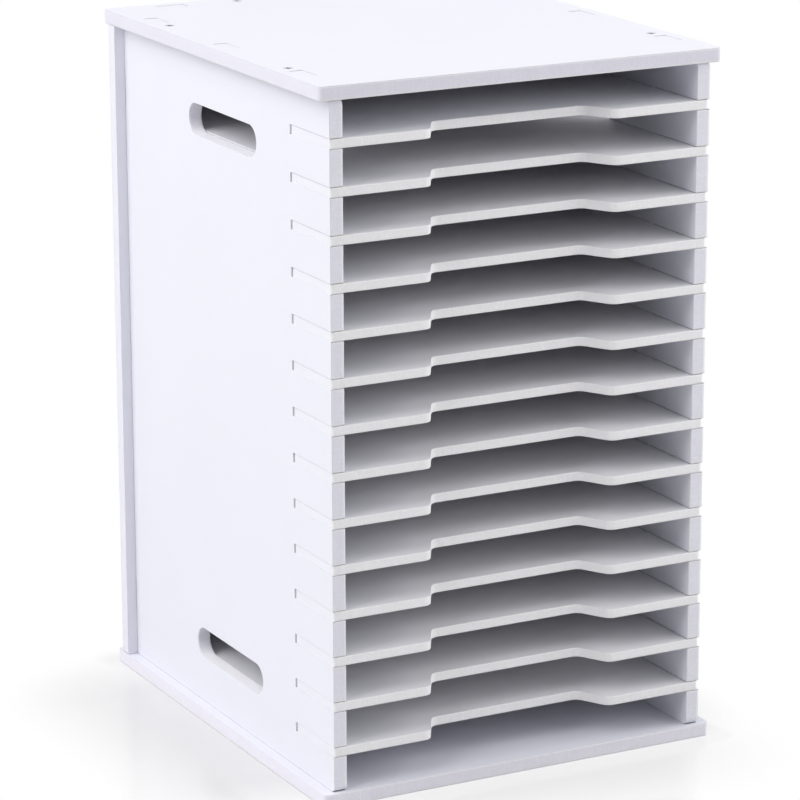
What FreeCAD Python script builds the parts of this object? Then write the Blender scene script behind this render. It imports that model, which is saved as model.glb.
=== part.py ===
"""Desktop paper sorter: two side panels, a back panel, a top and a base board joined by
through tenons and countersunk screws, and a stack of shelves that slide in from the front.

Millimetres. +X is right, +Y is back, +Z is up. The origin is under the middle of the base
board, on the surface the sorter stands on.
"""

import FreeCAD, Part
import Sketcher
import os

Vector = FreeCAD.Vector
Rotation = FreeCAD.Rotation

# alias, value in mm (or a count), what it is
SIZES = (
    ("inner_width", 252, "clear width between the side panels"),
    ("side_depth", 305, "side panel, front edge to the back panel"),
    ("slot_height", 24, "clear height of each compartment"),
    ("shelf_count", 14, "shelves in the stack"),
    ("shelf_thickness", 6, "shelf board"),
    ("side_thickness", 9, "side panel board"),
    ("back_thickness", 9, "back panel board"),
    ("top_thickness", 9, "top board"),
    ("base_thickness", 9, "base board"),
    ("front_overhang", 2, "top and base boards, past the side panels' front edges"),
    ("side_overhang", 7.5, "top and base boards, past the side panels' outer faces"),
    ("rear_overhang", 8, "top and base boards, past the back panel"),
    ("back_overhang", 7.2, "back panel, past the side panels' outer faces"),
    ("board_radius", 3.5, "upright corners of the top and base boards"),
    ("panel_radius", 4, "front corners of the side panels, top and bottom"),
    ("ear_length", 52, "shelf ears, front to back"),
    ("ear_inset", 0.3, "shelf ears, short of the side panels' outer faces"),
    ("ear_radius", 2.5, "front corners of the shelf ears"),
    ("notch_end_gap", 2, "free length behind each ear in its notch"),
    ("notch_top_gap", 0.3, "free height above a shelf in its notch or slot"),
    ("shelf_side_gap", 0.5, "shelf edge to side panel"),
    ("shelf_back_gap", 0.4, "shelf rear edge to back panel"),
    ("recess_front_width", 132, "finger recess at the shelf's front edge"),
    ("recess_back_width", 108, "finger recess at its deepest line"),
    ("recess_depth", 21, "finger recess, front to back"),
    ("recess_radius", 7, "finger recess, its four corners"),
    ("tab_width", 20, "rear tabs of a shelf"),
    ("tab_spacing", 140, "rear tabs, centre to centre"),
    ("tab_side_gap", 0.4, "rear tab to each end of its slot"),
    ("tab_set_back", 0.5, "rear tab's end, inside the back panel's rear face"),
    ("hole_length", 101, "hand hole, end to end"),
    ("hole_height", 21, "hand hole, top to bottom"),
    ("upper_hole_drop", 44.5, "upper hand hole's centre below the top board"),
    ("lower_hole_rise", 41.5, "lower hand hole's centre above the base board"),
    ("tenon_length", 20, "tenons, along the panel's edge"),
    ("tenon_set_back", 0.2, "tenon's end, inside the board's outer face"),
    ("tenon_pitch", 109, "tenons on a side panel's top and bottom edges"),
    ("rear_tenon_pitch", 178, "tenons on a side panel's rear edge"),
    ("back_tenon_pitch", 98, "tenons on the back panel's top and bottom edges"),
    ("mortise_end_gap", 0.7, "free length behind a tenon in its mortise"),
    ("mortise_side_gap", 0.1, "free width on each side of a tenon"),
    ("screw_gap", 11, "screw axis to the end of the nearest tenon"),
    ("back_screw_spacing", 98, "screws into the back panel's edges"),
    ("screw_diameter", 3.5, "screw shank"),
    ("screw_length", 25, "screw, over its head"),
    ("head_diameter", 6, "countersunk screw head"),
    ("head_sink", 0.2, "screw head, below the board's outer face"),
    ("drive_span", 3.6, "cross recess, tip to tip"),
    ("drive_width", 1, "cross recess, width of each slot"),
    ("drive_depth", 0.8, "cross recess"),
    ("shank_gap", 0.3, "shank to its clearance hole in a board"),
    ("seat_gap", 0.05, "screw head's cone to its countersink, across the head"),
    ("pilot_gap", 0.05, "shank to its pilot hole in a panel's edge"),
    ("pilot_spare", 1, "pilot hole, deeper than the screw's tip"),
)

doc = FreeCAD.newDocument("paper_sorter")
sheet = doc.addObject("Spreadsheet::Sheet", "sizes")


def fill_sheet():
    for row, (alias, value, meaning) in enumerate(SIZES, start=1):
        sheet.set(f"A{row}", meaning)
        sheet.set(f"B{row}", str(value))
        sheet.setAlias(f"B{row}", alias)
    doc.recompute()


fill_sheet()


def cell(alias):
    """The expression that reads one size from the sheet."""
    return f"sizes.{alias}"


def number(alias):
    return float(sheet.get(alias))


def total(*terms):
    return "(" + " + ".join(terms) + ")"


def minus(term):
    return f"(0 - {term})"


def half(term):
    return f"({term} / 2)"


# lengths that follow from the sheet, as expressions
INNER_WIDTH = cell("inner_width")
SIDE_DEPTH = cell("side_depth")
SHELF_PITCH = total(cell("slot_height"), cell("shelf_thickness"))
INNER_HEIGHT = f"({cell('shelf_count')} * {SHELF_PITCH} + {cell('slot_height')})"
OUTER_WIDTH = f"({INNER_WIDTH} + 2 * {cell('side_thickness')})"
BOARD_WIDTH = f"({OUTER_WIDTH} + 2 * {cell('side_overhang')})"
CASE_DEPTH = total(SIDE_DEPTH, cell("back_thickness"))
BOARD_DEPTH = total(cell("front_overhang"), CASE_DEPTH, cell("rear_overhang"))
PANEL_FRONT = total(minus(half(BOARD_DEPTH)), cell("front_overhang"))
PANEL_MIDDLE = total(PANEL_FRONT, half(SIDE_DEPTH))
BACK_REAR = total(PANEL_FRONT, CASE_DEPTH)
BACK_MIDDLE = total(PANEL_FRONT, SIDE_DEPTH, half(cell("back_thickness")))
SIDE_MIDDLE = half(total(INNER_WIDTH, cell("side_thickness")))
BACK_WIDTH = f"({OUTER_WIDTH} + 2 * {cell('back_overhang')})"
TOP_UNDERSIDE = total(cell("base_thickness"), INNER_HEIGHT)
OVERALL_HEIGHT = total(TOP_UNDERSIDE, cell("top_thickness"))
SIDE_SCREW = f"({cell('tenon_pitch')} - {cell('tenon_length')} / 2 - {cell('screw_gap')})"
BACK_SCREW = half(cell("back_screw_spacing"))
MORTISE_LENGTH = total(cell("tenon_length"), cell("mortise_end_gap"))


# ---------------------------------------------------------------- sketch helpers


def new_body(label):
    body = doc.addObject("PartDesign::Body", label)
    body.Label = label
    return body


def place(item, x="0", y="0", z="0", rotation=None):
    if rotation is not None:
        item.Placement = FreeCAD.Placement(Vector(), rotation)
    item.setExpression("Placement.Base.x", x)
    item.setExpression("Placement.Base.y", y)
    item.setExpression("Placement.Base.z", z)


def new_sketch(body, name, role, offset=None):
    """A sketch on one of the body's own origin planes, moved along its normal by offset."""
    plane = next(item for item in body.Origin.OriginFeatures if item.Role == role)
    sketch = body.newObject("Sketcher::SketchObject", name)
    sketch.AttachmentSupport = [(plane, "")]
    sketch.MapMode = "FlatFace"
    if offset is not None:
        sketch.setExpression("AttachmentOffset.Base.z", offset)
    return sketch


def bind(sketch, kind, geometry, point, expression):
    """Fix one coordinate of a point, measured from the sketch's origin."""
    index = sketch.addConstraint(Sketcher.Constraint(kind, -1, 1, geometry, point, 1.0))
    sketch.setExpression(f"Constraints[{index}]", expression)


def draw_outline(sketch, points):
    """A closed outline of straight lines through points given as pairs of expressions."""
    first = sketch.GeometryCount
    count = len(points)
    seeds = [Vector(*(doc_value(term) for term in point), 0) for point in points]
    for index in range(count):
        line = Part.LineSegment(seeds[index], seeds[(index + 1) % count])
        sketch.addGeometry(line, False)
    for index in range(count):
        following = first + (index + 1) % count
        sketch.addConstraint(Sketcher.Constraint("Coincident", first + index, 2, following, 1))
    for index, (across, along) in enumerate(points):
        bind(sketch, "DistanceX", first + index, 1, across)
        bind(sketch, "DistanceY", first + index, 1, along)


def draw_rectangle(sketch, left, bottom, right, top):
    draw_outline(sketch, [(left, bottom), (right, bottom), (right, top), (left, top)])


def draw_circle(sketch, across, along, diameter):
    centre = Vector(doc_value(across), doc_value(along), 0)
    radius = doc_value(diameter) / 2
    circle = sketch.addGeometry(Part.Circle(centre, Vector(0, 0, 1), radius), False)
    bind(sketch, "DistanceX", circle, 3, across)
    bind(sketch, "DistanceY", circle, 3, along)
    index = sketch.addConstraint(Sketcher.Constraint("Diameter", circle, 2 * radius))
    sketch.setExpression(f"Constraints[{index}]", diameter)


def doc_value(expression):
    """The present value of an expression, used to draw geometry where it will end up."""
    return float(sheet.evalExpression(expression.replace("sizes.", "")))


def extrude(body, kind, name, sketch, length=None, reverse=False):
    """A pad or a pocket of the given length; a pocket with no length goes right through."""
    feature = body.newObject(kind, name)
    feature.Profile = sketch
    if length is None:
        feature.Type = "ThroughAll"
    else:
        feature.setExpression("Length", length)
    feature.Reversed = reverse
    return feature


def repeat(body, name, feature, sketch, axis, pitch, count):
    """Copies of a feature at a steady pitch along an axis of its sketch."""
    pattern = body.newObject("PartDesign::LinearPattern", name)
    pattern.Originals = [feature]
    pattern.Direction = (sketch, [axis])
    pattern.setExpression("Length", f"{pitch} * ({count} - 1)")
    pattern.setExpression("Occurrences", count)
    body.Tip = pattern
    return pattern


def round_edges(body, name, radius, corners, direction):
    """Round the straight edges along direction that pass through the given corners."""
    doc.recompute()
    tip = body.Tip
    shape = tip.Shape
    names = []
    for index, edge in enumerate(shape.Edges, start=1):
        if edge.Curve.TypeId != "Part::GeomLine":
            continue
        if abs(edge.Curve.Direction.dot(direction)) < 0.999:
            continue
        for corner in corners:
            gap = edge.valueAt(edge.FirstParameter) - corner
            gap = gap - direction * gap.dot(direction)
            if gap.Length < 1e-4:
                names.append(f"Edge{index}")
    fillet = body.newObject("PartDesign::Fillet", name)
    fillet.Base = (tip, names)
    fillet.setExpression("Radius", cell(radius))
    return fillet


# ---------------------------------------------------------------- top and base boards


def screw_holes(body, name, sketch):
    """Countersunk clearance holes, sunk from the sketch's face."""
    doc.recompute()
    hole = body.newObject("PartDesign::Hole", name)
    hole.Profile = sketch
    doc.recompute()
    hole.Threaded = False
    hole.DepthType = "ThroughAll"
    hole.setExpression("Diameter", f"{cell('screw_diameter')} + 2 * {cell('shank_gap')}")
    hole.HoleCutType = "Countersink"
    hole.HoleCutCustomValues = True
    hole.HoleCutCountersinkAngle = 90
    hole.setExpression("HoleCutDiameter", COUNTERSINK_DIAMETER)
    return hole


# a 90 degree countersink is wider than the head by twice the depth that the head is sunk
COUNTERSINK_DIAMETER = (
    f"({cell('head_diameter')} + 2 * {cell('head_sink')} + 2 * {cell('seat_gap')})"
)


def mortises(sketch, centre, row, thickness, upright):
    """Three openings in a row, each with its free length behind the tenon."""
    side_gap = cell("mortise_side_gap")
    across = (
        total(centre[0], minus(half(thickness)), minus(side_gap)),
        total(centre[0], half(thickness), side_gap),
    )
    for step in (-1, 0, 1):
        start = total(centre[1], f"{step} * {row}", minus(half(cell("tenon_length"))))
        end = total(start, MORTISE_LENGTH)
        if upright:
            draw_rectangle(sketch, across[0], start, across[1], end)
        else:
            draw_rectangle(sketch, start, across[0], end, across[1])


def end_board(label, thickness):
    """A top or base board, drawn with its outer face up."""
    body = new_body(label)
    outline = new_sketch(body, f"{label}_outline", "XY_Plane")
    edge_x = half(BOARD_WIDTH)
    edge_y = half(BOARD_DEPTH)
    draw_rectangle(outline, minus(edge_x), minus(edge_y), edge_x, edge_y)
    extrude(body, "PartDesign::Pad", f"{label}_board", outline, cell(thickness))
    x, y = doc_value(edge_x), doc_value(edge_y)
    corners = [Vector(sx * x, sy * y, 0) for sx in (-1, 1) for sy in (-1, 1)]
    round_edges(body, f"{label}_corners", "board_radius", corners, Vector(0, 0, 1))

    openings = new_sketch(body, f"{label}_openings", "XY_Plane", cell(thickness))
    for side in (minus(SIDE_MIDDLE), SIDE_MIDDLE):
        row = (side, PANEL_MIDDLE)
        mortises(openings, row, cell("tenon_pitch"), cell("side_thickness"), True)
    back_row = (BACK_MIDDLE, "0")
    mortises(openings, back_row, cell("back_tenon_pitch"), cell("back_thickness"), False)
    extrude(body, "PartDesign::Pocket", f"{label}_mortises", openings)

    axes = new_sketch(body, f"{label}_axes", "XY_Plane", cell(thickness))
    for x, y in side_screw_places() + back_screw_places():
        draw_circle(axes, x, y, cell("screw_diameter"))
    screw_holes(body, f"{label}_screw_holes", axes)
    return body


def side_screw_places():
    return [
        (side, f"({PANEL_MIDDLE} + {sign} * {SIDE_SCREW})")
        for side in (minus(SIDE_MIDDLE), SIDE_MIDDLE)
        for sign in (-1, 1)
    ]


def back_screw_places():
    return [(f"({sign} * {BACK_SCREW})", BACK_MIDDLE) for sign in (-1, 1)]


# ---------------------------------------------------------------- side panels


def tenon_row(sketch, start, end, middle, pitch, along_x):
    """Three tenon outlines on one edge, from start to end across the edge."""
    for step in (-1, 0, 1):
        centre = total(middle, f"{step} * {pitch}")
        low = total(centre, minus(half(cell("tenon_length"))))
        high = total(centre, half(cell("tenon_length")))
        if along_x:
            draw_rectangle(sketch, low, start, high, end)
        else:
            draw_rectangle(sketch, start, low, end, high)


def draw_stadium(sketch, centre_x, centre_y):
    """A hand hole: two straight edges joined by half rounds."""
    first = sketch.GeometryCount
    radius = doc_value(half(cell("hole_height")))
    reach = f"({cell('hole_length')} / 2 - {cell('hole_height')} / 2)"
    low = Vector(doc_value(centre_x) - doc_value(reach), doc_value(centre_y), 0)
    high = Vector(doc_value(centre_x) + doc_value(reach), doc_value(centre_y), 0)
    up = Vector(0, radius, 0)
    normal = Vector(0, 0, 1)
    quarter = 1.5707963267948966
    left = Part.ArcOfCircle(Part.Circle(low, normal, radius), quarter, 3 * quarter)
    right = Part.ArcOfCircle(Part.Circle(high, normal, radius), -quarter, quarter)
    sketch.addGeometry(left, False)
    sketch.addGeometry(Part.LineSegment(low - up, high - up), False)
    sketch.addGeometry(right, False)
    sketch.addGeometry(Part.LineSegment(high + up, low + up), False)
    for index in range(4):
        following = first + (index + 1) % 4
        sketch.addConstraint(Sketcher.Constraint("Tangent", first + index, 2, following, 1))
    bind(sketch, "DistanceX", first, 3, total(centre_x, minus(reach)))
    bind(sketch, "DistanceX", first + 2, 3, total(centre_x, reach))
    bind(sketch, "DistanceY", first, 3, centre_y)
    bind(sketch, "DistanceY", first + 2, 3, centre_y)
    sketch.addConstraint(Sketcher.Constraint("Equal", first, first + 2))
    index = sketch.addConstraint(Sketcher.Constraint("Radius", first, radius))
    sketch.setExpression(f"Constraints[{index}]", half(cell("hole_height")))


def pilot_holes(body, name, role, offset, places, reverse, board):
    """Pilot holes for the screws that come through the board on this edge."""
    sketch = new_sketch(body, f"{name}_axes", role, offset)
    for x, y in places:
        draw_circle(sketch, x, y, f"({cell('screw_diameter')} + 2 * {cell('pilot_gap')})")
    depth = total(cell("screw_length"), minus(cell(board)), cell("head_sink"), cell("pilot_spare"))
    extrude(body, "PartDesign::Pocket", name, sketch, depth, reverse)


def side_panel(label):
    """A side panel, drawn with X through its thickness and its front edge on Y = 0."""
    body = new_body(label)
    thickness = cell("side_thickness")
    outline = new_sketch(body, f"{label}_outline", "YZ_Plane")
    draw_rectangle(outline, "0", "0", SIDE_DEPTH, INNER_HEIGHT)
    extrude(body, "PartDesign::Pad", f"{label}_board", outline, thickness)
    height = doc_value(INNER_HEIGHT)
    corners = [Vector(0, 0, 0), Vector(0, 0, height)]
    round_edges(body, f"{label}_corners", "panel_radius", corners, Vector(1, 0, 0))

    tenons = new_sketch(body, f"{label}_tenon_outlines", "YZ_Plane")
    set_back = cell("tenon_set_back")
    base_reach = total(cell("base_thickness"), minus(set_back))
    top_end = total(INNER_HEIGHT, cell("top_thickness"), minus(set_back))
    rear_end = total(CASE_DEPTH, minus(set_back))
    middle_y, middle_z = half(SIDE_DEPTH), half(INNER_HEIGHT)
    tenon_row(tenons, minus(base_reach), "0", middle_y, cell("tenon_pitch"), True)
    tenon_row(tenons, INNER_HEIGHT, top_end, middle_y, cell("tenon_pitch"), True)
    tenon_row(tenons, SIDE_DEPTH, rear_end, middle_z, cell("rear_tenon_pitch"), False)
    extrude(body, "PartDesign::Pad", f"{label}_tenons", tenons, thickness)

    notch = new_sketch(body, f"{label}_notch_outline", "YZ_Plane")
    notch_end = total(cell("ear_length"), cell("notch_end_gap"))
    notch_top = total(SHELF_PITCH, cell("notch_top_gap"))
    draw_rectangle(notch, "0", cell("slot_height"), notch_end, notch_top)
    lowest = extrude(body, "PartDesign::Pocket", f"{label}_notch", notch, reverse=True)
    count = cell("shelf_count")
    repeat(body, f"{label}_notches", lowest, notch, "V_Axis", SHELF_PITCH, count)

    holes = new_sketch(body, f"{label}_hand_hole_outlines", "YZ_Plane")
    draw_stadium(holes, middle_y, total(INNER_HEIGHT, minus(cell("upper_hole_drop"))))
    draw_stadium(holes, middle_y, cell("lower_hole_rise"))
    extrude(body, "PartDesign::Pocket", f"{label}_hand_holes", holes, reverse=True)

    middle_x = half(thickness)
    edge_screws = [(middle_x, f"({middle_y} + {sign} * {SIDE_SCREW})") for sign in (-1, 1)]
    pilot_holes(
        body, f"{label}_top_pilots", "XY_Plane", INNER_HEIGHT, edge_screws, False, "top_thickness"
    )
    pilot_holes(
        body, f"{label}_base_pilots", "XY_Plane", "0", edge_screws, True, "base_thickness"
    )
    return body


# ---------------------------------------------------------------- back panel


def back_panel(label):
    """The back panel, drawn with its rear face on Y = 0 and turned round when placed."""
    body = new_body(label)
    thickness = cell("back_thickness")
    outline = new_sketch(body, f"{label}_outline", "XZ_Plane")
    edge_x = half(BACK_WIDTH)
    draw_rectangle(outline, minus(edge_x), "0", edge_x, INNER_HEIGHT)
    extrude(body, "PartDesign::Pad", f"{label}_board", outline, thickness, True)

    tenons = new_sketch(body, f"{label}_tenon_outlines", "XZ_Plane")
    set_back = cell("tenon_set_back")
    base_reach = total(cell("base_thickness"), minus(set_back))
    top_end = total(INNER_HEIGHT, cell("top_thickness"), minus(set_back))
    pitch = cell("back_tenon_pitch")
    tenon_row(tenons, minus(base_reach), "0", "0", pitch, True)
    tenon_row(tenons, INNER_HEIGHT, top_end, "0", pitch, True)
    extrude(body, "PartDesign::Pad", f"{label}_tenons", tenons, thickness, True)

    openings = new_sketch(body, f"{label}_mortise_outlines", "XZ_Plane")
    for side in (minus(SIDE_MIDDLE), SIDE_MIDDLE):
        row = (side, half(INNER_HEIGHT))
        mortises(openings, row, cell("rear_tenon_pitch"), cell("side_thickness"), True)
    extrude(body, "PartDesign::Pocket", f"{label}_mortises", openings)

    slot = new_sketch(body, f"{label}_slot_outlines", "XZ_Plane")
    slot_top = total(SHELF_PITCH, cell("notch_top_gap"))
    for sign in (-1, 1):
        centre = f"({sign} * {half(cell('tab_spacing'))})"
        reach = total(half(cell("tab_width")), cell("tab_side_gap"))
        left = total(centre, minus(reach))
        draw_rectangle(slot, left, cell("slot_height"), total(centre, reach), slot_top)
    lowest = extrude(body, "PartDesign::Pocket", f"{label}_slot", slot)
    repeat(body, f"{label}_slots", lowest, slot, "V_Axis", SHELF_PITCH, cell("shelf_count"))

    places = [(f"({sign} * {BACK_SCREW})", half(thickness)) for sign in (-1, 1)]
    pilot_holes(
        body, f"{label}_top_pilots", "XY_Plane", INNER_HEIGHT, places, False, "top_thickness"
    )
    pilot_holes(body, f"{label}_base_pilots", "XY_Plane", "0", places, True, "base_thickness")
    return body


# ---------------------------------------------------------------- shelves


def shelf_outline():
    """Half of a shelf seen from above, from the recess's middle round to the rear middle."""
    ear_x = total(half(OUTER_WIDTH), minus(cell("ear_inset")))
    body_x = total(half(INNER_WIDTH), minus(cell("shelf_side_gap")))
    rear_y = total(SIDE_DEPTH, minus(cell("shelf_back_gap")))
    tab_y = total(CASE_DEPTH, minus(cell("tab_set_back")))
    tab_inner = f"({cell('tab_spacing')} / 2 - {cell('tab_width')} / 2)"
    tab_outer = f"({cell('tab_spacing')} / 2 + {cell('tab_width')} / 2)"
    return [
        (half(cell("recess_back_width")), cell("recess_depth")),
        (half(cell("recess_front_width")), "0"),
        (ear_x, "0"),
        (ear_x, cell("ear_length")),
        (body_x, cell("ear_length")),
        (body_x, rear_y),
        (tab_outer, rear_y),
        (tab_outer, tab_y),
        (tab_inner, tab_y),
        (tab_inner, rear_y),
    ]


def shelf(label, height):
    """A T-shaped shelf with a finger recess in front and two tabs behind."""
    body = new_body(label)
    right = shelf_outline()
    left = [(minus(x), y) for x, y in reversed(right)]
    outline = new_sketch(body, f"{label}_outline", "XY_Plane")
    draw_outline(outline, right + left)
    extrude(body, "PartDesign::Pad", f"{label}_board", outline, cell("shelf_thickness"))
    points = [Vector(doc_value(x), doc_value(y), 0) for x, y in right[:3] + left[-3:]]
    recess = points[:2] + points[-2:]
    round_edges(body, f"{label}_recess", "recess_radius", recess, Vector(0, 0, 1))
    round_edges(body, f"{label}_ears", "ear_radius", points[2:4], Vector(0, 0, 1))
    place(body, y=PANEL_FRONT, z=height)
    return body


def all_shelves():
    """The shelves, numbered from the top of the stack."""
    made = []
    count = int(number("shelf_count"))
    for index in range(count):
        level = count - 1 - index
        rise = f"({cell('base_thickness')} + {cell('slot_height')} + {level} * {SHELF_PITCH})"
        made.append(shelf(f"shelf_{index + 1:02d}", rise))
    return made


# ---------------------------------------------------------------- screws


def screw_pattern():
    """One countersunk screw with a cross recess, head up, its face on Z = 0."""
    body = new_body("screw_pattern")
    profile = new_sketch(body, "screw_profile", "XZ_Plane")
    head = half(cell("head_diameter"))
    shank = half(cell("screw_diameter"))
    neck = total(shank, minus(head))
    end = minus(cell("screw_length"))
    draw_outline(profile, [("0", "0"), (head, "0"), (shank, neck), (shank, end), ("0", end)])
    turned = body.newObject("PartDesign::Revolution", "screw_turned")
    turned.Profile = profile
    turned.ReferenceAxis = (profile, ["V_Axis"])
    turned.Angle = 360

    cross = new_sketch(body, "screw_cross", "XY_Plane")
    tip = half(cell("drive_span"))
    edge = half(cell("drive_width"))
    quarter = [(edge, edge), (edge, tip), (minus(edge), tip)]
    turns = [
        quarter,
        [(minus(edge), edge), (minus(tip), edge), (minus(tip), minus(edge))],
        [(minus(edge), minus(edge)), (minus(edge), minus(tip)), (edge, minus(tip))],
        [(edge, minus(edge)), (tip, minus(edge)), (tip, edge)],
    ]
    draw_outline(cross, [point for turn in turns for point in turn])
    extrude(body, "PartDesign::Pocket", "screw_recess", cross, cell("drive_depth"))
    return body


def screw_group(label, pattern, places, rotation):
    """Screws of one kind as one sub-part, one solid for each place."""
    screws = []
    for index, (x, y, z) in enumerate(places, start=1):
        screw = doc.addObject("App::Link", f"{label}_{index}")
        screw.LinkedObject = pattern
        place(screw, x, y, z, rotation)
        screws.append(screw)
    group = doc.addObject("Part::Compound", label)
    group.Label = label
    group.Links = screws
    return group


def all_screws():
    pattern = screw_pattern()
    sink = cell("head_sink")
    top = total(OVERALL_HEIGHT, minus(sink))
    upright = Rotation()
    upside_down = Rotation(Vector(1, 0, 0), 180)
    groups = []
    for name, places in (("side", side_screw_places()), ("back", back_screw_places())):
        above = [(x, y, top) for x, y in places]
        below = [(x, y, sink) for x, y in places]
        groups.append(screw_group(f"top_{name}_screws", pattern, above, upright))
        groups.append(screw_group(f"base_{name}_screws", pattern, below, upside_down))
    return groups


# ---------------------------------------------------------------- assembly


def build():
    top = end_board("top_board", "top_thickness")
    place(top, z=TOP_UNDERSIDE)
    base = end_board("base_board", "base_thickness")
    place(base, z=cell("base_thickness"), rotation=Rotation(Vector(0, 1, 0), 180))
    left = side_panel("left_side_panel")
    place(left, x=minus(half(OUTER_WIDTH)), y=PANEL_FRONT, z=cell("base_thickness"))
    right = side_panel("right_side_panel")
    place(right, x=half(INNER_WIDTH), y=PANEL_FRONT, z=cell("base_thickness"))
    back = back_panel("back_panel")
    place(back, y=BACK_REAR, z=cell("base_thickness"), rotation=Rotation(Vector(0, 0, 1), 180))
    nodes = [top, base, left, right, back] + all_shelves() + all_screws()
    doc.recompute()
    return nodes


def check(nodes):
    for item in doc.Objects:
        if "Invalid" in item.State or "Error" in item.State:
            raise RuntimeError(f"{item.Name} did not compute: {item.State}")
        if item.TypeId == "Sketcher::SketchObject" and not item.FullyConstrained:
            raise RuntimeError(f"{item.Name} is not fully constrained")
    for node in nodes:
        if node.Shape.isNull() or not node.Shape.isValid():
            raise RuntimeError(f"{node.Label} has no valid shape")


def export(nodes):
    os.makedirs("parts", exist_ok=True)
    for node in nodes:
        node.Shape.exportStep(f"parts/{node.Label}.step")
        box = node.Shape.BoundBox
        print(f"{node.Label}: {len(node.Shape.Solids)} solids, {node.Shape.Volume:.1f} mm3,",
              f"{box.XLength:.2f} x {box.YLength:.2f} x {box.ZLength:.2f} mm")


sub_parts = build()
check(sub_parts)
export(sub_parts)
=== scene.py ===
"""Looks, floor, lights and camera for a white paper sorter with fourteen slide-out shelves."""

import math

import bpy
from mathutils import Matrix, Vector


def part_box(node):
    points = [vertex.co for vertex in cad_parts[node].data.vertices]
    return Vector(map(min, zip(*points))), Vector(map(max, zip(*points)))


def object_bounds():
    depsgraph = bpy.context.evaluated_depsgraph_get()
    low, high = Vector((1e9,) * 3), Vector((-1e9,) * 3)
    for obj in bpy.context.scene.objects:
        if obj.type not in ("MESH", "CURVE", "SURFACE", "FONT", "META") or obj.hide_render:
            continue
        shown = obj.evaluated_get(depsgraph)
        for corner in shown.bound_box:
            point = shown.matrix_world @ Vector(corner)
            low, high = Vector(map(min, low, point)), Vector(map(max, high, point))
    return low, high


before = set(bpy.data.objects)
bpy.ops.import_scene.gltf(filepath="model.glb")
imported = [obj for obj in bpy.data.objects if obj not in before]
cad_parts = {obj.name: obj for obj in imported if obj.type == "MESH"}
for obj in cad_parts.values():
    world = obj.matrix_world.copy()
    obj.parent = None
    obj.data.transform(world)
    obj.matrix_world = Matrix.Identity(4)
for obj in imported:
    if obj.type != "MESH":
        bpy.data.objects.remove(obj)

CAD_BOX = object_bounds()
MM = 0.001

X_AXIS = (1, 0, 0)
Y_AXIS = (0, 1, 0)
Z_AXIS = (0, 0, 1)
NOWHERE = (0.0, 0.0, 0.0)
TO_FRONT = (0, -1, 0)
TO_FRONT_AND_DOWN = (0, -1, -1)

SIDE_PANELS = ("left_side_panel", "right_side_panel")
TOP = ("top_board",)
BASE = ("base_board",)
BACK = ("back_panel",)
SHELVES = tuple(sorted(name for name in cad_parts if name.startswith("shelf_")))
SCREWS = tuple(sorted(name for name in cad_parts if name.endswith("_screws")))

# ---------------------------------------------------------------- colours, linear

CASE_SKIN = (0.785, 0.785, 0.860)
# Painted light: a lighter colour for the floors of the hand holes.
HOLE_FLOOR_LIGHT = (0.955, 0.945, 0.995)
CASE_EDGE = (0.785, 0.780, 0.860)
# Painted shade and painted light: the top board's edges are the case edge darkened, the base board's
# lightened.
TOP_EDGE_SHADED = (0.736, 0.728, 0.808)
BASE_EDGE_LIT = (0.800, 0.782, 0.858)
# Painted shade: a dark band along the top of each tooth, where a shelf rests on it.
JOINT_SHADE = (0.42, 0.41, 0.45)
SHELF_SKIN = (0.800, 0.800, 0.835)
SHELF_LIP = (0.862, 0.854, 0.874)
SHELF_END = (0.796, 0.794, 0.858)
# Painted highlight on rounded arrises.
ARRIS_HIGHLIGHT = (0.970, 0.970, 0.985)
# Painted shade in narrow hollows and gaps.
CREVICE_SHADE = (0.33, 0.33, 0.36)
ZINC = (0.80, 0.80, 0.82)
# Painted shade at a screw head's rim and in its cross recess.
ZINC_SHADE = (0.16, 0.16, 0.17)
WHITE = (1.0, 1.0, 1.0)


def tint(colour, factor):
    return tuple(min(1.0, channel * factor) for channel in colour)


# ---------------------------------------------------------------- node helpers


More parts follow.
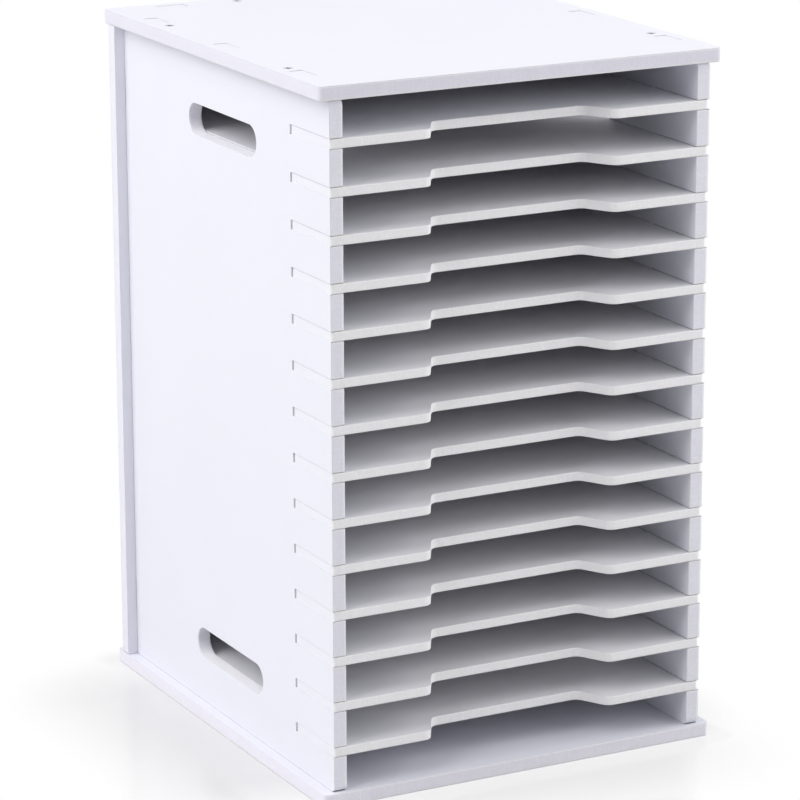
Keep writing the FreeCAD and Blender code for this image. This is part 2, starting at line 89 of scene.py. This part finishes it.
class Graph:
    """A node tree, a new material's unless one is given, with short calls to add and join nodes."""

    def __init__(self, name, tree=None):
        if tree is None:
            self.material = bpy.data.materials.new(name)
            self.material.use_nodes = True
            self.tree = self.material.node_tree
            kind = "ShaderNodeOutputMaterial"
        else:
            self.tree = tree
            kind = "ShaderNodeOutputWorld"
        self.tree.nodes.clear()
        self.output = self.tree.nodes.new(kind)

    def add(self, kind, settings=None, **inputs):
        """A node with its settings, and its inputs as numbers, colours or other nodes' outputs."""
        node = self.tree.nodes.new(kind)
        for name, value in (settings or {}).items():
            setattr(node, name, value)
        for name, value in inputs.items():
            self.feed(node.inputs[name.replace("_", " ")], value)
        return node

    def feed(self, socket, value):
        if isinstance(value, bpy.types.NodeSocket):
            self.tree.links.new(value, socket)
        elif hasattr(value, "__len__") and socket.type == "RGBA":
            socket.default_value = (*value, 1.0)
        else:
            socket.default_value = value

    def in_order(self, kind, settings, *values):
        """A node with its first inputs given in their order."""
        node = self.add(kind, settings)
        for index, value in enumerate(values):
            self.feed(node.inputs[index], value)
        return node

    def math(self, operation, first, second=0.0, clamp=False):
        settings = {"operation": operation, "use_clamp": clamp}
        return self.in_order("ShaderNodeMath", settings, first, second).outputs[0]

    def vector(self, operation, first, second=NOWHERE):
        settings = {"operation": operation}
        return self.in_order("ShaderNodeVectorMath", settings, first, second).outputs[0]

    def dot(self, first, second):
        settings = {"operation": "DOT_PRODUCT"}
        return self.in_order("ShaderNodeVectorMath", settings, first, second).outputs["Value"]

    def remap(self, value, low, high, new_low=0.0, new_high=1.0, curve="LINEAR"):
        settings = {"interpolation_type": curve, "clamp": True}
        ends = (low, high, new_low, new_high)
        return self.in_order("ShaderNodeMapRange", settings, value, *ends).outputs[0]

    def between(self, share, first, second):
        """A number between two numbers."""
        step = self.math("MULTIPLY", share, self.math("SUBTRACT", second, first))
        return self.math("ADD", first, step)

    def mix(self, share, first, second):
        """A colour between two colours."""
        node = self.add("ShaderNodeMix", {"data_type": "RGBA"}, Factor=share)
        self.feed(node.inputs[6], first)
        self.feed(node.inputs[7], second)
        return node.outputs[2]

    def blend(self, share, first, second):
        """A shader between two shaders."""
        return self.in_order("ShaderNodeMixShader", None, share, first, second).outputs[0]

    def shade(self, colour, factor):
        """A colour, fixed or from a node, lighter or darker by a factor."""
        if isinstance(colour, tuple):
            return tint(colour, factor)
        return self.vector("MULTIPLY", colour, (factor, factor, factor))

    def noise(self, place, scale, detail, roughness):
        inputs = {"Vector": place, "Scale": scale, "Detail": detail, "Roughness": roughness}
        return self.add("ShaderNodeTexNoise", **inputs).outputs["Fac"]

    def place(self):
        return self.add("ShaderNodeTexCoord").outputs["Object"]

    def normal(self):
        return self.add("ShaderNodeNewGeometry").outputs["True Normal"]

    def rounded(self, radius):
        """The normal with every arris rounded over by a radius."""
        settings = {"samples": ROUND_SAMPLES}
        return self.add("ShaderNodeBevel", settings, Radius=radius).outputs["Normal"]

    def openness(self, reach, samples):
        """1 in the open, and towards 0 in hollows narrower than the reach."""
        settings = {"samples": samples}
        return self.add("ShaderNodeAmbientOcclusion", settings, Distance=reach).outputs["AO"]

    def bump(self, height, **inputs):
        """The normal of a relief whose height is in metres."""
        node = self.add("ShaderNodeBump", Strength=1.0, Distance=1.0, Height=height, **inputs)
        return node.outputs["Normal"]

    def surface(self, shader):
        self.tree.links.new(shader, self.output.inputs["Surface"])


ROUND_SAMPLES = 6

# ---------------------------------------------------------------- foamed board

# Sizes of the marks; a texture's scale is one over a size.
GRAIN = 1 / (0.9 * MM)
CELLS = 1 / (1.1 * MM)
MOTTLE = 1 / (60 * MM)
ROUTER_MARK = 1 / (1.6 * MM)
ROUTER_STRETCH = 0.12
PIT_SPACING = 7 * MM
PIT_RADIUS = 0.35 * MM
PIT_FLOOR = 0.14 * MM
PIT_CHANCE = 0.70
ARRIS = 2.1 * MM
LIP_ARRIS = 1.6 * MM
CREVICE = 1.2 * MM
CREVICE_SAMPLES = 6
# The painted shade band along the top of each tooth: its width, and how much of it is full.
JOINT_SHADE_BAND = 0.6 * MM
JOINT_SHADE_CORE = 0.36 * MM

# Heights of the marks.
GRAIN_HEIGHT = 0.02 * MM
CELL_HEIGHT = 0.10 * MM
ROUTER_HEIGHT = 0.08 * MM
PIT_DEPTH = 0.15 * MM

# The stretch of a noise, which lies about 0.5, that makes the whole change from low to high.
NARROW = (0.35, 0.65)
BROAD = (0.30, 0.70)

# How much a mark darkens or lightens the board, and how much of that shows.
MOTTLE_TONES = (0.995, 1.005)
GRAIN_TONE, GRAIN_SHARE = 0.965, 0.25
CELL_TONES = (0.945, 1.035)
ROUTER_TONE, ROUTER_SHARE = 0.955, 0.7
PIT_TONE, PIT_SHARE = 0.45, 0.6
SIDE_DETAIL = 0.4

# Normals against a direction, as cosines: where a mask starts, and where it is full.
TURNED = (0.55, 0.75)
TURNED_SIDEWAYS = (0.3, 0.7)
TURNED_UP = (0.2, 0.9)
TURNED_FROM_FRONT = (-0.45, -0.15)
FRONT_LIMIT = -0.5
ROUNDED_OVER = (0.997, 0.95)
TURNED_TO_HIGHLIGHT = (0.05, 0.5)

CREVICE_OPEN = (0.15, 0.72)
SKIN_ROUGH = (0.50, 0.60)
EDGE_ROUGH = (0.62, 0.78)
BOARD_IOR = 1.46
BOARD_SPECULAR = 0.3


def facing(g, normal, axes):
    """How squarely a face is turned to the nearest of the axes, either way."""
    squarest = g.math("ABSOLUTE", g.dot(normal, axes[0]))
    for axis in axes[1:]:
        squarest = g.math("MAXIMUM", squarest, g.math("ABSOLUTE", g.dot(normal, axis)))
    return squarest


def pit_mask(g, place):
    """1 in the few small pits where a router has torn the board."""
    cell = g.add("ShaderNodeTexVoronoi", Vector=place, Scale=1 / PIT_SPACING)
    ends = (PIT_RADIUS / PIT_SPACING, PIT_FLOOR / PIT_SPACING)
    inside = g.remap(cell.outputs["Distance"], *ends)
    lot = g.dot(cell.outputs["Color"], X_AXIS)
    return g.math("MULTIPLY", inside, g.math("GREATER_THAN", lot, PIT_CHANCE))


def hole_floor_light_mask(g, place, normal):
    """1 on a side panel's faces that turn up below the top board, such as the floors of its hand
    holes, which get painted light.
    """
    facing_up = g.remap(g.dot(normal, Z_AXIS), *TURNED_UP)
    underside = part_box("top_board")[0][2]
    return g.math("MULTIPLY", facing_up, g.math("LESS_THAN", g.dot(place, Z_AXIS), underside))


def joint_shade_mask(g, place, normal):
    """1 on the front of each tooth along its top, where the shelf above rests: painted shade along
    that joint.
    """
    lowest, next_up = (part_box(name)[0][2] for name in (SHELVES[-1], SHELVES[-2]))
    height = g.math("SUBTRACT", g.dot(place, Z_AXIS), lowest - JOINT_SHADE_BAND)
    up_the_tooth = g.math("FLOORED_MODULO", height, next_up - lowest)
    on_front = g.math("LESS_THAN", g.dot(normal, Y_AXIS), FRONT_LIMIT)
    return g.math("MULTIPLY", on_front, g.remap(up_the_tooth, JOINT_SHADE_BAND, JOINT_SHADE_CORE))


def arris_highlight_mask(g, normal, rounded, highlight_way):
    """1 where an arris is rounded over and turned the highlight way, where it gets a painted
    highlight.
    """
    turned = g.remap(g.dot(rounded, normal), *ROUNDED_OVER)
    return g.math("MULTIPLY", turned, g.remap(g.dot(rounded, highlight_way), *TURNED_TO_HIGHLIGHT))


def board_marks(g, place, thickness):
    """The textures of a board; a router's streaks run through its thickness."""
    along = tuple(ROUTER_STRETCH if component else 1.0 for component in thickness)
    return {
        "grain": g.noise(place, GRAIN, 3.0, 0.6),
        "mottle": g.noise(place, MOTTLE, 2.0, 0.5),
        "cells": g.noise(place, CELLS, 3.0, 0.65),
        "router": g.noise(g.vector("MULTIPLY", place, along), ROUTER_MARK, 1.0, 0.4),
        "pits": pit_mask(g, place),
    }


def skin_colour(g, marks, skin):
    tones = (tint(skin, tone) for tone in MOTTLE_TONES)
    mottled = g.mix(g.remap(marks["mottle"], *NARROW), *tones)
    speckle = g.remap(marks["grain"], *BROAD, 0.0, GRAIN_SHARE)
    return g.mix(speckle, mottled, tint(skin, GRAIN_TONE))


def edge_colour(g, marks, edge, detail):
    tones = (g.shade(edge, tone) for tone in CELL_TONES)
    cellular = g.mix(g.remap(marks["cells"], *NARROW), *tones)
    streaks = g.remap(marks["router"], *NARROW, 0.0, ROUTER_SHARE)
    streaked = g.mix(streaks, cellular, g.shade(edge, ROUTER_TONE))
    pits = g.math("MULTIPLY", marks["pits"], PIT_SHARE)
    pitted = g.mix(pits, streaked, g.shade(edge, PIT_TONE))
    return g.mix(detail, edge, pitted)


def edge_relief(g, marks, detail):
    cells = g.math("MULTIPLY", marks["cells"], CELL_HEIGHT)
    streaks = g.math("MULTIPLY", marks["router"], ROUTER_HEIGHT)
    pits = g.math("MULTIPLY", marks["pits"], PIT_DEPTH)
    relief = g.math("SUBTRACT", g.math("ADD", cells, streaks), pits)
    return g.math("MULTIPLY", relief, detail)


def board_material(name, thickness, skin_axes, skin, edge, round_axes, highlight_way,
                   arris=ARRIS, front=None, upright=False):
    """White foamed board: a fine matt skin on its faces, and cells, streaks and pits on its edges.

    The thickness is an axis. Faces turned to the skin axes have the skin, and those turned to the
    round axes are rounded over at their arrises, with a painted highlight where these turn the
    highlight way. A front colour is for edges at the front. An upright panel has teeth, with painted
    shade along the top of each, where a shelf rests, and hand holes, with painted light on their
    floors. Edges turned to the sides show less of their marks. Narrow hollows and gaps get painted
    shade.
    """
    g = Graph(name)
    place = g.place()
    normal = g.normal()
    rounded = g.rounded(g.remap(facing(g, normal, round_axes), *TURNED, 0.0, arris))
    marks = board_marks(g, place, thickness)
    on_skin = g.remap(facing(g, normal, skin_axes), *TURNED)
    detail = g.remap(facing(g, normal, (X_AXIS,)), *TURNED_SIDEWAYS, 1.0, SIDE_DETAIL)

    if front is not None:
        edge = g.mix(g.remap(g.dot(normal, Y_AXIS), *TURNED_FROM_FRONT), front, edge)
    colour = g.mix(on_skin, edge_colour(g, marks, edge, detail), skin_colour(g, marks, skin))
    # Painted highlight on the rounded arrises turned the highlight way.
    colour = g.mix(arris_highlight_mask(g, normal, rounded, highlight_way), colour, ARRIS_HIGHLIGHT)
    if upright:
        # Painted light on the floors of the hand holes.
        colour = g.mix(hole_floor_light_mask(g, place, normal), colour, HOLE_FLOOR_LIGHT)
        # Painted shade along the top of each tooth.
        colour = g.mix(joint_shade_mask(g, place, normal), colour, JOINT_SHADE)
    # Painted shade: hollows and gaps narrower than the crevice reach turn grey.
    in_the_open = g.remap(g.openness(CREVICE, CREVICE_SAMPLES), *CREVICE_OPEN)
    colour = g.mix(in_the_open, CREVICE_SHADE, colour)

    skin_rough = g.remap(marks["grain"], *BROAD, *SKIN_ROUGH)
    edge_rough = g.remap(marks["cells"], *BROAD, *EDGE_ROUGH)
    rough = g.between(on_skin, edge_rough, skin_rough)
    skin_relief = g.math("MULTIPLY", marks["grain"], GRAIN_HEIGHT)
    height = g.between(on_skin, edge_relief(g, marks, detail), skin_relief)

    shader = g.add("ShaderNodeBsdfPrincipled", Base_Color=colour, Roughness=rough, Metallic=0.0)
    g.feed(shader.inputs["IOR"], BOARD_IOR)
    g.feed(shader.inputs["Specular IOR Level"], BOARD_SPECULAR)
    g.feed(shader.inputs["Normal"], g.bump(height, Normal=rounded))
    g.surface(shader.outputs[0])
    return g.material


# ---------------------------------------------------------------- zinc-plated screws

TURNED_MARK = 1 / (0.25 * MM)
TURNED_HEIGHT = 0.02 * MM
ZINC_CLOUD = 1 / (2.0 * MM)
ZINC_TONES = (0.94, 1.06)
ZINC_ROUGH = (0.28, 0.42)
RIM = 1.0 * MM
RIM_TO_FACE = (0.90, 0.985)
RECESS = 1.2 * MM
RECESS_SAMPLES = 8
RECESS_OPEN = (0.45, 0.95)


def screw_material():
    """Zinc-plated steel: fine turned marks, and painted shade at the rim and in the cross recess."""
    g = Graph("zinc_screw")
    place = g.place()
    fine = g.noise(place, TURNED_MARK, 3.0, 0.6)
    cloud = g.noise(place, ZINC_CLOUD, 2.0, 0.5)
    tones = (tint(ZINC, tone) for tone in ZINC_TONES)
    bright = g.mix(g.remap(cloud, *BROAD), *tones)
    # Painted shade at the rim and in the cross recess.
    off_the_rim = g.remap(g.dot(g.rounded(RIM), g.normal()), *RIM_TO_FACE)
    out_of_recess = g.remap(g.openness(RECESS, RECESS_SAMPLES), *RECESS_OPEN)
    unshaded = g.math("MULTIPLY", out_of_recess, off_the_rim)
    colour = g.mix(unshaded, ZINC_SHADE, bright)
    rough = g.remap(fine, *BROAD, *ZINC_ROUGH)
    shader = g.add("ShaderNodeBsdfPrincipled", Base_Color=colour, Roughness=rough, Metallic=1.0)
    g.feed(shader.inputs["Normal"], g.bump(g.math("MULTIPLY", fine, TURNED_HEIGHT)))
    g.surface(shader.outputs[0])
    return g.material


# ---------------------------------------------------------------- each node's material


def dress(names, material):
    for name in names:
        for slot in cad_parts[name].material_slots:
            slot.material = material


def dress_boards():
    """Each board with the way it lies, its colours, and the arrises that are rounded over."""
    lying = {"thickness": Z_AXIS, "skin_axes": (Z_AXIS,)}
    standing = {"thickness": X_AXIS, "skin_axes": (X_AXIS, Z_AXIS)}
    standing_across = {"thickness": Y_AXIS, "skin_axes": (Y_AXIS, Z_AXIS)}
    # The last entry of each is the way the painted highlight on the rounded arrises faces.
    all_round = {"round_axes": (X_AXIS, Y_AXIS), "highlight_way": TO_FRONT_AND_DOWN}
    at_the_front = {"round_axes": (Y_AXIS,), "highlight_way": TO_FRONT}
    at_the_sides = {"round_axes": (X_AXIS,), "highlight_way": TO_FRONT}
    lip = {"front": SHELF_LIP, "arris": LIP_ARRIS}

    side = {**standing, **at_the_front, "skin": CASE_SKIN, "edge": CASE_EDGE, "upright": True}
    top = {**lying, **all_round, "skin": CASE_SKIN, "edge": TOP_EDGE_SHADED}
    base = {**lying, **all_round, "skin": CASE_SKIN, "edge": BASE_EDGE_LIT}
    back = {**standing_across, **at_the_sides, "skin": CASE_SKIN, "edge": CASE_EDGE}
    shelf = {**lying, **at_the_front, **lip, "skin": SHELF_SKIN, "edge": SHELF_END}

    dress(SIDE_PANELS, board_material("case_board_upright", **side))
    dress(TOP, board_material("case_board_top", **top))
    dress(BASE, board_material("case_board_base", **base))
    dress(BACK, board_material("case_board_back", **back))
    dress(SHELVES, board_material("shelf_board", **shelf))


dress_boards()
dress(SCREWS, screw_material())


# ---------------------------------------------------------------- floor

FLOOR_HALF = 12.0
FLOOR_SEEN = (0.74, 0.74, 0.74)
FLOOR_BOUNCE = (0.68, 0.68, 0.68)
FLOOR_GLOSS = 0.11
FLOOR_ROUGHNESS = 0.16

# The part's shade: full on a square under it, and gone at a reach from the square's edges.
SHADE_MIDDLE = (-0.030, -0.045, 0.0)
SHADE_HALF = (0.13, 0.13, 0.0)
SHADE_REACH = 0.10

# The floor's own glow, at the foot of the base board and in front of it.
FOOT_HALF = (CAD_BOX[1][0], CAD_BOX[1][1], 0.0)
FOOT_REACH = 0.025
FOOT_GLOW = 0.50
FRONT_START = -0.09
FRONT_FULL = -0.16
FRONT_GLOW = 0.72


def background_rays(g):
    """1 for the rays that see the background: from the camera, and through gloss or glass."""
    path = g.add("ShaderNodeLightPath").outputs
    seen = g.math("ADD", path["Is Camera Ray"], path["Is Glossy Ray"])
    return g.math("ADD", seen, path["Is Transmission Ray"], clamp=True)


def glow_beyond(g, place, middle, half, reach, least):
    """A share that rises from least, on a rectangle of the floor, to 1 at a reach from its edges."""
    offset = g.vector("ABSOLUTE", g.vector("SUBTRACT", place, middle))
    outside = g.vector("MAXIMUM", g.vector("SUBTRACT", offset, half), NOWHERE)
    distance = g.math("SQRT", g.dot(outside, outside))
    return g.remap(distance, 0.0, reach, least, 1.0, "SMOOTHSTEP")


def floor_glow(g):
    """How much of the floor's white is its own: all of it away from the part, less close to it."""
    place = g.place()
    depth = g.dot(place, Y_AXIS)
    in_front = g.remap(depth, FRONT_START, FRONT_FULL, 0.0, FRONT_GLOW, "SMOOTHSTEP")
    around = glow_beyond(g, place, SHADE_MIDDLE, SHADE_HALF, SHADE_REACH, in_front)
    at_foot = glow_beyond(g, place, NOWHERE, FOOT_HALF, FOOT_REACH, FOOT_GLOW)
    return g.math("MINIMUM", around, g.math("MAXIMUM", at_foot, in_front))


def floor_material():
    """Smooth pale card: white but for the part's shade close to it and a faint reflection."""
    g = Graph("studio_floor")
    seen = background_rays(g)
    matt_colour = g.mix(seen, FLOOR_BOUNCE, FLOOR_SEEN)
    matt = g.add("ShaderNodeBsdfDiffuse", Color=matt_colour).outputs[0]
    glow = g.add("ShaderNodeEmission", Color=WHITE, Strength=1.0).outputs[0]
    gloss = g.add("ShaderNodeBsdfGlossy", Color=WHITE, Roughness=FLOOR_ROUGHNESS).outputs[0]
    lit = g.blend(g.math("MULTIPLY", seen, floor_glow(g)), matt, glow)
    g.surface(g.blend(g.math("MULTIPLY", seen, FLOOR_GLOSS), lit, gloss))
    return g.material


def add_floor():
    signs = ((-1, -1), (1, -1), (1, 1), (-1, 1))
    corners = [(x * FLOOR_HALF, y * FLOOR_HALF, 0.0) for x, y in signs]
    mesh = bpy.data.meshes.new("studio_floor")
    mesh.from_pydata(corners, [], [(0, 1, 2, 3)])
    mesh.materials.append(floor_material())
    floor = bpy.data.objects.new("studio_floor", mesh)
    bpy.context.scene.collection.objects.link(floor)


add_floor()


# ---------------------------------------------------------------- lights

ROOM_LEVEL = 0.30
WARM_WHITE = (1.0, 0.97, 0.91)
MID_HEIGHT = CAD_BOX[1][2] / 2

# name, way from the part's middle, metres to the part, metres across, level at the part, colour
PANEL_LIGHTS = (
    ("left_light", (-0.75, 0.03, 0.66), 4.0, 4.2, 0.737, WHITE),
    ("right_light", (0.62, -0.60, 0.50), 2.0, 2.2, 0.35, WHITE),
    ("right_rim_light", (0.95, -0.15, 0.28), 3.0, 2.4, 0.30, WHITE),
    ("rear_light", (-0.20, 0.70, 0.69), 4.0, 5.0, 0.16, WARM_WHITE),
)


def add_world():
    """Even light from all round, and plain white behind the part."""
    world = bpy.data.worlds.new("studio")
    bpy.context.scene.world = world
    world.use_nodes = True
    g = Graph("studio", world.node_tree)
    room = g.add("ShaderNodeBackground", Color=WHITE, Strength=ROOM_LEVEL).outputs[0]
    plain = g.add("ShaderNodeBackground", Color=WHITE, Strength=1.0).outputs[0]
    g.surface(g.blend(background_rays(g), room, plain))


def add_panel_light(name, toward, distance, side, level, colour):
    """A square light turned to the part, where a white face square to it gains the level.

    Gloss doesn't mirror it, so that a white face seen at a flat angle doesn't clip.
    """
    light = bpy.data.lights.new(name, "AREA")
    light.size = side
    light.energy = level * math.pi**2 * (distance**2 + side**2 / 3)
    light.color = colour
    lamp = bpy.data.objects.new(name, light)
    lamp.visible_glossy = False
    bpy.context.scene.collection.objects.link(lamp)
    direction = Vector(toward).normalized()
    lamp.location = direction * distance + Vector((0.0, 0.0, MID_HEIGHT))
    lamp.rotation_euler = direction.to_track_quat("Z", "Y").to_euler()


add_world()
for panel_light in PANEL_LIGHTS:
    add_panel_light(*panel_light)


# ---------------------------------------------------------------- camera

IMAGE_SIDE = 800
SENSOR_WIDTH = 36.0
FOCAL_PIXELS = 3771.5
AZIMUTH = math.radians(27.720)
ELEVATION = math.radians(15.351)
ROLL = math.radians(-0.155)
CAMERA_PLACE = Vector((-1.1354, -2.1546, 0.8788))


def camera_turn():
    """The camera's axes as a rotation; azimuth turns from the part's depth towards its right."""
    level = math.cos(ELEVATION)
    sideways = math.sin(AZIMUTH) * level
    inwards = math.cos(AZIMUTH) * level
    ahead = Vector((sideways, inwards, -math.sin(ELEVATION)))
    right = Vector((math.cos(AZIMUTH), -math.sin(AZIMUTH), 0.0))
    above = right.cross(ahead)
    rolled_right = right * math.cos(ROLL) + above * math.sin(ROLL)
    rolled_above = above * math.cos(ROLL) - right * math.sin(ROLL)
    return Matrix((rolled_right, rolled_above, -ahead)).transposed()


def add_camera():
    """Looks at the part from its front left and from above."""
    camera = bpy.data.cameras.new("camera")
    camera.sensor_width = SENSOR_WIDTH
    camera.lens = FOCAL_PIXELS * SENSOR_WIDTH / IMAGE_SIDE
    viewer = bpy.data.objects.new("camera", camera)
    viewer.matrix_world = Matrix.Translation(CAMERA_PLACE) @ camera_turn().to_4x4()
    bpy.context.scene.collection.objects.link(viewer)
    bpy.context.scene.camera = viewer


add_camera()
bpy.context.scene.view_settings.view_transform = "Standard"
